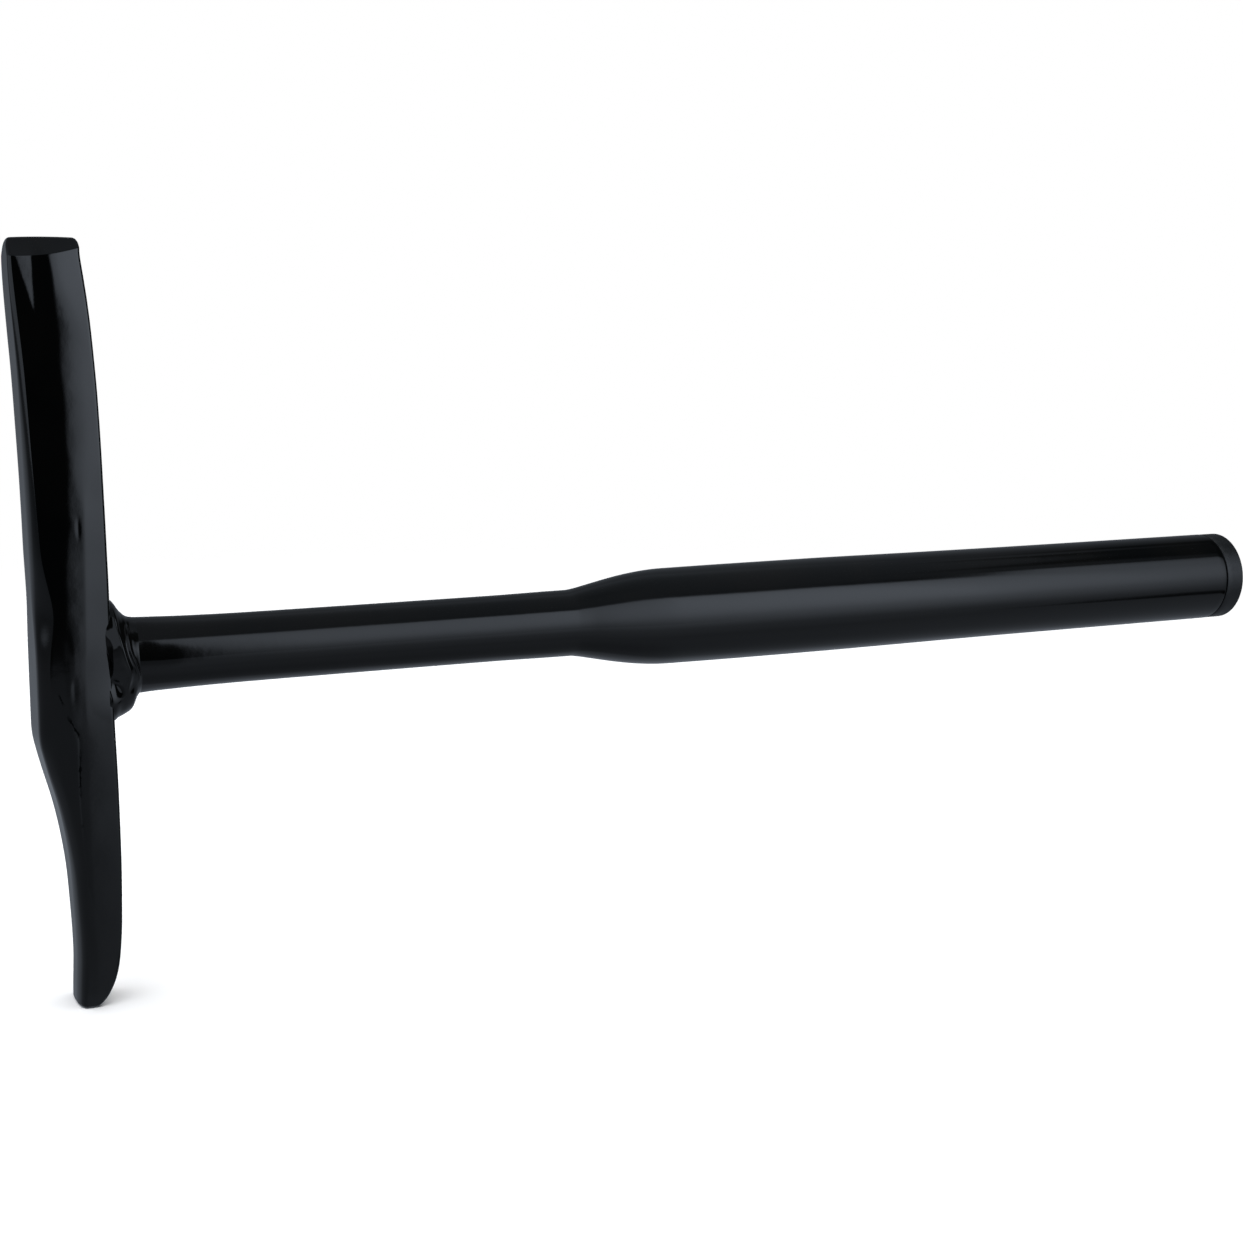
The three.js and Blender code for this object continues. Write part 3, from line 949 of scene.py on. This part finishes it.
def satin_plastic(name):
    """Moulded black plastic with a fine spark-eroded grain and a slightly scuffed rim."""
    material, tree, shader = new_material(name)
    patches = mapped(tree, noise_value(tree, 5 * MM, 4), 0.35, 0.65, 0, 1)
    black = mixed_colour(tree, patches, (0.0045, 0.0052, 0.0056), (0.0062, 0.0068, 0.0072))
    wear = edge_wear(tree, 0.51, 0.6)
    colour = mixed_colour(tree, wear, black, (0.03, 0.031, 0.032))
    tree.links.new(colour, shader.inputs["Base Color"])
    scuffs = mapped(tree, noise_value(tree, 1.5 * MM, 3), 0.3, 0.7, 0.36, 0.46)
    tree.links.new(scuffs, shader.inputs["Roughness"])
    grain = bumped(tree, noise_value(tree, 0.28 * MM, 2), 0.012 * MM)
    tree.links.new(grain, shader.inputs["Normal"])
    return material


# --- Studio ------------------------------------------------------------------------------------

CAMERA_AZIMUTH = math.radians(-24.2)
CAMERA_ELEVATION = math.radians(9.55)
CAMERA_DISTANCE = 0.5532
CAMERA_LENS_MM = 60.82
CAMERA_AIM = Vector((EYE_MIDDLE + 142.8 * MM, 0, -0.7 * MM))


def add_camera():
    data = bpy.data.cameras.new("main_camera")
    data.lens = CAMERA_LENS_MM
    data.sensor_width = 36
    data.clip_start = 0.01
    camera = bpy.data.objects.new("main_camera", data)
    bpy.context.scene.collection.objects.link(camera)
    away = Vector((
        math.sin(CAMERA_AZIMUTH) * math.cos(CAMERA_ELEVATION),
        -math.cos(CAMERA_AZIMUTH) * math.cos(CAMERA_ELEVATION),
        math.sin(CAMERA_ELEVATION),
    ))
    camera.location = CAMERA_AIM + away * CAMERA_DISTANCE
    camera.rotation_euler = away.to_track_quat("Z", "Y").to_euler()
    bpy.context.scene.camera = camera


def zone(tree, azimuth, elevation, across, up):
    """1 inside a patch of the sky and 0 outside it. Each way has four angles in degrees: where
    the patch starts, is full, stops being full and ends."""
    sides = (mapped(tree, value, start, full, 0, 1) for value, start, full in (
        (azimuth, across[0], across[1]),
        (azimuth, across[3], across[2]),
        (elevation, up[0], up[1]),
        (elevation, up[3], up[2]),
    ))
    return product(tree, *sides)


def leaving(tree, share, strength):
    """What is left of 1 once a share of it is taken away."""
    return calculated(tree, "SUBTRACT", 1.0, product(tree, share, strength))


STUDIO_TINT = (0.9, 1.0, 1.15)

# Brightness of the table, the dark horizon and the ceiling, by elevation in degrees.
ROOM = (
    (-90, 0.15), (-70, 0.17), (-58, 0.21), (-45, 0.24), (-33, 0.23), (-22, 0.16), (-12, 0.13),
    (-4, 0.08), (4, 0.05), (40, 0.05), (48, 0.12), (55, 0.14), (74, 0.14), (90, 0.09),
)
ROOM_TOP = 0.3

# Patches of the surround, as the azimuths and then the elevations, in degrees, where each starts,
# is full, stops being full and ends. The dark ones keep a little of the room's light.
DARK_FRONT = ((-19, -15, 24, 30), (-12.5, -10.5, 46, 52))
DARK_RIGHT = ((62, 73, 108, 116), (-16, -8, 52.5, 55.5))
DARK_CORNER = ((100, 112, 121, 128), (-16, -8, 45, 51))
TABLE_EDGE = ((40, 44.5, 60, 75), (-33, -29.5, -26, -22.5))
LEFT_PANEL = ((-130, -100, -21, -18), (-3.5, -1, 42, 55))
FRONT_DARKNESS = 0.97
RIGHT_DARKNESS = 0.85
TABLE_EDGE_DARKNESS = 1.0
LEFT_PANEL_LIGHT = 0.5
BACKDROP_LIGHT = 0.09
BACKDROP_SIDES = (122, 145)
BACKDROP_TOP = (70, 40)


def studio_world():
    """A white surround to the camera. To the paint it is a studio: a dark camera side, a dim ceiling,
    a grey table and a pale backdrop. The tall soft box to the front right is a panel of its own."""
    world = bpy.data.worlds.new("studio")
    bpy.context.scene.world = world
    world.use_nodes = True
    tree = world.node_tree
    tree.nodes.clear()
    place = tree.nodes.new("ShaderNodeTexCoord")
    split = tree.nodes.new("ShaderNodeSeparateXYZ")
    tree.links.new(place.outputs["Generated"], split.inputs["Vector"])
    forward = calculated(tree, "MULTIPLY", split.outputs["Y"], -1.0)
    turn = calculated(tree, "ARCTAN2", split.outputs["X"], forward)
    azimuth = calculated(tree, "MULTIPLY", turn, math.degrees(1))
    rise = calculated(tree, "ARCSINE", split.outputs["Z"])
    elevation = calculated(tree, "MULTIPLY", rise, math.degrees(1))
    side_turn = calculated(tree, "ABSOLUTE", azimuth)

    level = curve_value(tree, elevation, ROOM, ROOM_TOP)
    for patch, darkness in (
        (DARK_FRONT, FRONT_DARKNESS),
        (DARK_RIGHT, RIGHT_DARKNESS),
        (DARK_CORNER, RIGHT_DARKNESS),
    ):
        dark = zone(tree, azimuth, elevation, *patch)
        level = product(tree, level, leaving(tree, dark, darkness))
    left_panel = product(tree, zone(tree, azimuth, elevation, *LEFT_PANEL), LEFT_PANEL_LIGHT)
    level = calculated(tree, "ADD", level, left_panel)
    behind = mapped(tree, side_turn, *BACKDROP_SIDES, 0, BACKDROP_LIGHT)
    backdrop = product(tree, behind, mapped(tree, elevation, *BACKDROP_TOP, 0, 1))
    level = calculated(tree, "ADD", level, backdrop)
    table_edge = zone(tree, azimuth, elevation, *TABLE_EDGE)
    level = product(tree, level, leaving(tree, table_edge, TABLE_EDGE_DARKNESS))

    studio = tree.nodes.new("ShaderNodeBackground")
    studio.inputs["Color"].default_value = (*STUDIO_TINT, 1)
    tree.links.new(level, studio.inputs["Strength"])
    white = tree.nodes.new("ShaderNodeBackground")
    white.inputs["Color"].default_value = (1, 1, 1, 1)
    seen = tree.nodes.new("ShaderNodeLightPath")
    mix = tree.nodes.new("ShaderNodeMixShader")
    output = tree.nodes.new("ShaderNodeOutputWorld")
    tree.links.new(seen.outputs["Is Camera Ray"], mix.inputs["Fac"])
    tree.links.new(studio.outputs["Background"], mix.inputs[1])
    tree.links.new(white.outputs["Background"], mix.inputs[2])
    tree.links.new(mix.outputs["Shader"], output.inputs["Surface"])


# The soft box stands to the front right, just outside the picture. Its brightness goes by place
# along X and by height, both in millimetres.
BOX_DISTANCE = 308 * MM
BOX_ALONG = (
    (100, 0), (111, 0.03), (115, 0.2), (120, 0.8), (135, 1.0), (156, 1.18), (209, 1.25), (300, 1.45),
    (356, 1.55), (440, 1.58), (484, 1.38), (516, 1.28), (547, 1.22), (582, 1.05), (657, 0.9),
    (810, 0.58), (1000, 0.22), (1200, 0.05), (1400, 0),
)
BOX_UP = (
    (-300, 0), (-230, 0.04), (-167, 0.1), (-108, 0.24), (-52, 0.45), (0, 0.66), (50, 0.87),
    (105, 0.98), (170, 1.0), (245, 0.96), (330, 0.84), (365, 0.66), (410, 0.12), (440, 0),
)
BOX_ALONG_TOP = 1.6
BOX_UP_TOP = 1.1

# The box's top edge steps up by this much, between these places along X and these heights.
BOX_STEP = 170
BOX_STEP_ALONG = (560, 720)
BOX_STEP_UP = (250, 420)

FLOOR_SIZE = 3.0
FLOOR_FADE_START = 0.35
FLOOR_FADE_END = 0.8
FLOOR_DROP = 0.3 * MM
FLOOR_LIGHT_HEIGHT = 1.6
FLOOR_LIGHT_SIZE = 3.0
FLOOR_LIGHT_POWER = 75
FLOOR_MIDDLE = 0.15


def add_soft_box():
    """An upright glowing panel that only mirror-like reflections can see."""
    span_x = (BOX_ALONG[0][0] * MM, BOX_ALONG[-1][0] * MM)
    span_z = (BOX_UP[0][0] * MM, (BOX_UP[-1][0] + BOX_STEP) * MM)
    corners = [
        (span_x[0], -BOX_DISTANCE, span_z[0]),
        (span_x[1], -BOX_DISTANCE, span_z[0]),
        (span_x[1], -BOX_DISTANCE, span_z[1]),
        (span_x[0], -BOX_DISTANCE, span_z[1]),
    ]
    data = bpy.data.meshes.new("soft_box")
    data.from_pydata(corners, [], [(0, 1, 2, 3)])
    panel = bpy.data.objects.new("soft_box", data)
    bpy.context.scene.collection.objects.link(panel)
    for kind in ("camera", "diffuse", "transmission", "volume_scatter", "shadow"):
        setattr(panel, "visible_" + kind, False)

    material = bpy.data.materials.new("soft_box_glow")
    material.use_nodes = True
    tree = material.node_tree
    tree.nodes.clear()
    place = tree.nodes.new("ShaderNodeTexCoord")
    split = tree.nodes.new("ShaderNodeSeparateXYZ")
    tree.links.new(place.outputs["Object"], split.inputs["Vector"])
    along = calculated(tree, "DIVIDE", split.outputs["X"], MM)
    height = calculated(tree, "DIVIDE", split.outputs["Z"], MM)
    step_along = mapped(tree, along, *BOX_STEP_ALONG, 0, 1)
    step_up = mapped(tree, height, *BOX_STEP_UP, 0, 1)
    lowered = calculated(tree, "SUBTRACT", height, product(tree, step_along, step_up, BOX_STEP))
    level_along = curve_value(tree, along, BOX_ALONG, BOX_ALONG_TOP)
    level = product(tree, level_along, curve_value(tree, lowered, BOX_UP, BOX_UP_TOP))
    glow = tree.nodes.new("ShaderNodeEmission")
    glow.inputs["Color"].default_value = (*STUDIO_TINT, 1)
    tree.links.new(level, glow.inputs["Strength"])
    clear = tree.nodes.new("ShaderNodeBsdfTransparent")
    both = tree.nodes.new("ShaderNodeAddShader")
    output = tree.nodes.new("ShaderNodeOutputMaterial")
    tree.links.new(glow.outputs["Emission"], both.inputs[0])
    tree.links.new(clear.outputs["BSDF"], both.inputs[1])
    tree.links.new(both.outputs["Shader"], output.inputs["Surface"])
    panel.data.materials.append(material)


def add_floor():
    """A white floor that only the camera sees, so that the paint still mirrors the studio."""
    level = CAD_LOW[2] - FLOOR_DROP
    bpy.ops.mesh.primitive_plane_add(size=FLOOR_SIZE, location=(FLOOR_MIDDLE, 0, level))
    floor = bpy.context.object
    floor.name = "studio_floor"
    material, tree, shader = new_material("pale_floor")
    tone = noise_value(tree, 60 * MM, 3)
    pale = mixed_colour(tree, tone, (0.9, 0.9, 0.9), (0.94, 0.94, 0.94))
    tree.links.new(pale, shader.inputs["Base Color"])
    shader.inputs["Roughness"].default_value = 0.9
    shader.inputs["Specular IOR Level"].default_value = 0.1
    place = tree.nodes.new("ShaderNodeTexCoord")
    reach = tree.nodes.new("ShaderNodeVectorMath")
    reach.operation = "LENGTH"
    tree.links.new(place.outputs["Object"], reach.inputs[0])
    nearby = mapped(tree, reach.outputs["Value"], FLOOR_FADE_START, FLOOR_FADE_END, 1, 0)
    seen = tree.nodes.new("ShaderNodeLightPath")
    clear = tree.nodes.new("ShaderNodeBsdfTransparent")
    mix = tree.nodes.new("ShaderNodeMixShader")
    output = next(node for node in tree.nodes if node.type == "OUTPUT_MATERIAL")
    tree.links.new(product(tree, seen.outputs["Is Camera Ray"], nearby), mix.inputs["Fac"])
    tree.links.new(clear.outputs["BSDF"], mix.inputs[1])
    tree.links.new(shader.outputs["BSDF"], mix.inputs[2])
    tree.links.new(mix.outputs["Shader"], output.inputs["Surface"])
    floor.data.materials.append(material)


def add_floor_light():
    data = bpy.data.lights.new("overhead_panel", "AREA")
    data.shape = "SQUARE"
    data.size = FLOOR_LIGHT_SIZE
    data.energy = FLOOR_LIGHT_POWER
    light = bpy.data.objects.new("overhead_panel", data)
    light.location = (FLOOR_MIDDLE, 0, FLOOR_LIGHT_HEIGHT)
    light.visible_glossy = False
    bpy.context.scene.collection.objects.link(light)


def set_colours():
    view = bpy.context.scene.view_settings
    view.view_transform = "Standard"
    view.look = "None"
    view.exposure = 0
    view.gamma = 1


# --- Assembly ----------------------------------------------------------------------------------

tube_material, _, _ = gloss_paint("tube_gloss_black", 0.08, 0.005 * MM, 0.001 * MM)
weld_material, _, _ = gloss_paint("weld_gloss_black", 0.09, 0.008 * MM, 0.002 * MM)

make_head(head_paint())
make_tube(tube_material)
make_weld("weld_bead_near", "weld_run_near", -1, weld_material)
make_weld("weld_bead_far", "weld_run_far", 1, weld_material)
make_plug(satin_plastic("plug_satin_black"))

studio_world()
add_soft_box()
add_floor()
add_floor_light()
add_camera()
set_colours()
